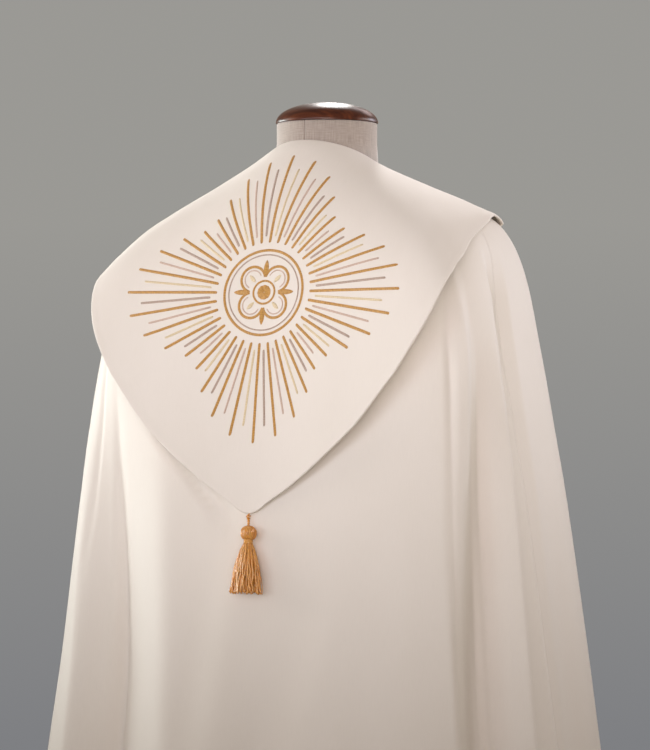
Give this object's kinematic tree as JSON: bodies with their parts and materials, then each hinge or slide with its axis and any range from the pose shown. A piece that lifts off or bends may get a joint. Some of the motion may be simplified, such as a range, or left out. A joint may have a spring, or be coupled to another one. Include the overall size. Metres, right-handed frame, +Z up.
{
  "type": "cope vestment on a limbless dress form",
  "caption": "Floor-length ceremonial cope with a pointed hood, tassel and clasp tab, worn by a limbless dress form on a pole and a round foot.",
  "frame": {"origin": "centre of the stand's flat underside, on the floor under the neck", "axes": "+Z up, -Y towards the garment's front, +X towards the wearer's left"},
  "size_m": [0.8851, 0.6232, 1.5873],
  "materials": {
    "ivory_cloth": "soft satin weave",
    "gold_thread": "lustrous twisted thread",
    "linen_cover": "matt plain weave",
    "dark_wood": "polished",
    "steel_tube": "brushed"
  },
  "bodies": {
    "root": {"mantle_back": "ivory_cloth", "mantle_front_left": "ivory_cloth", "mantle_front_right": "ivory_cloth", "hood": "ivory_cloth", "clasp_tab": "ivory_cloth", "tassel": "gold_thread", "tassel_cord": "gold_thread", "form_torso": "linen_cover", "form_cap": "dark_wood", "form_pole": "steel_tube", "form_base": "dark_wood"}
  },
  "joints": []
}
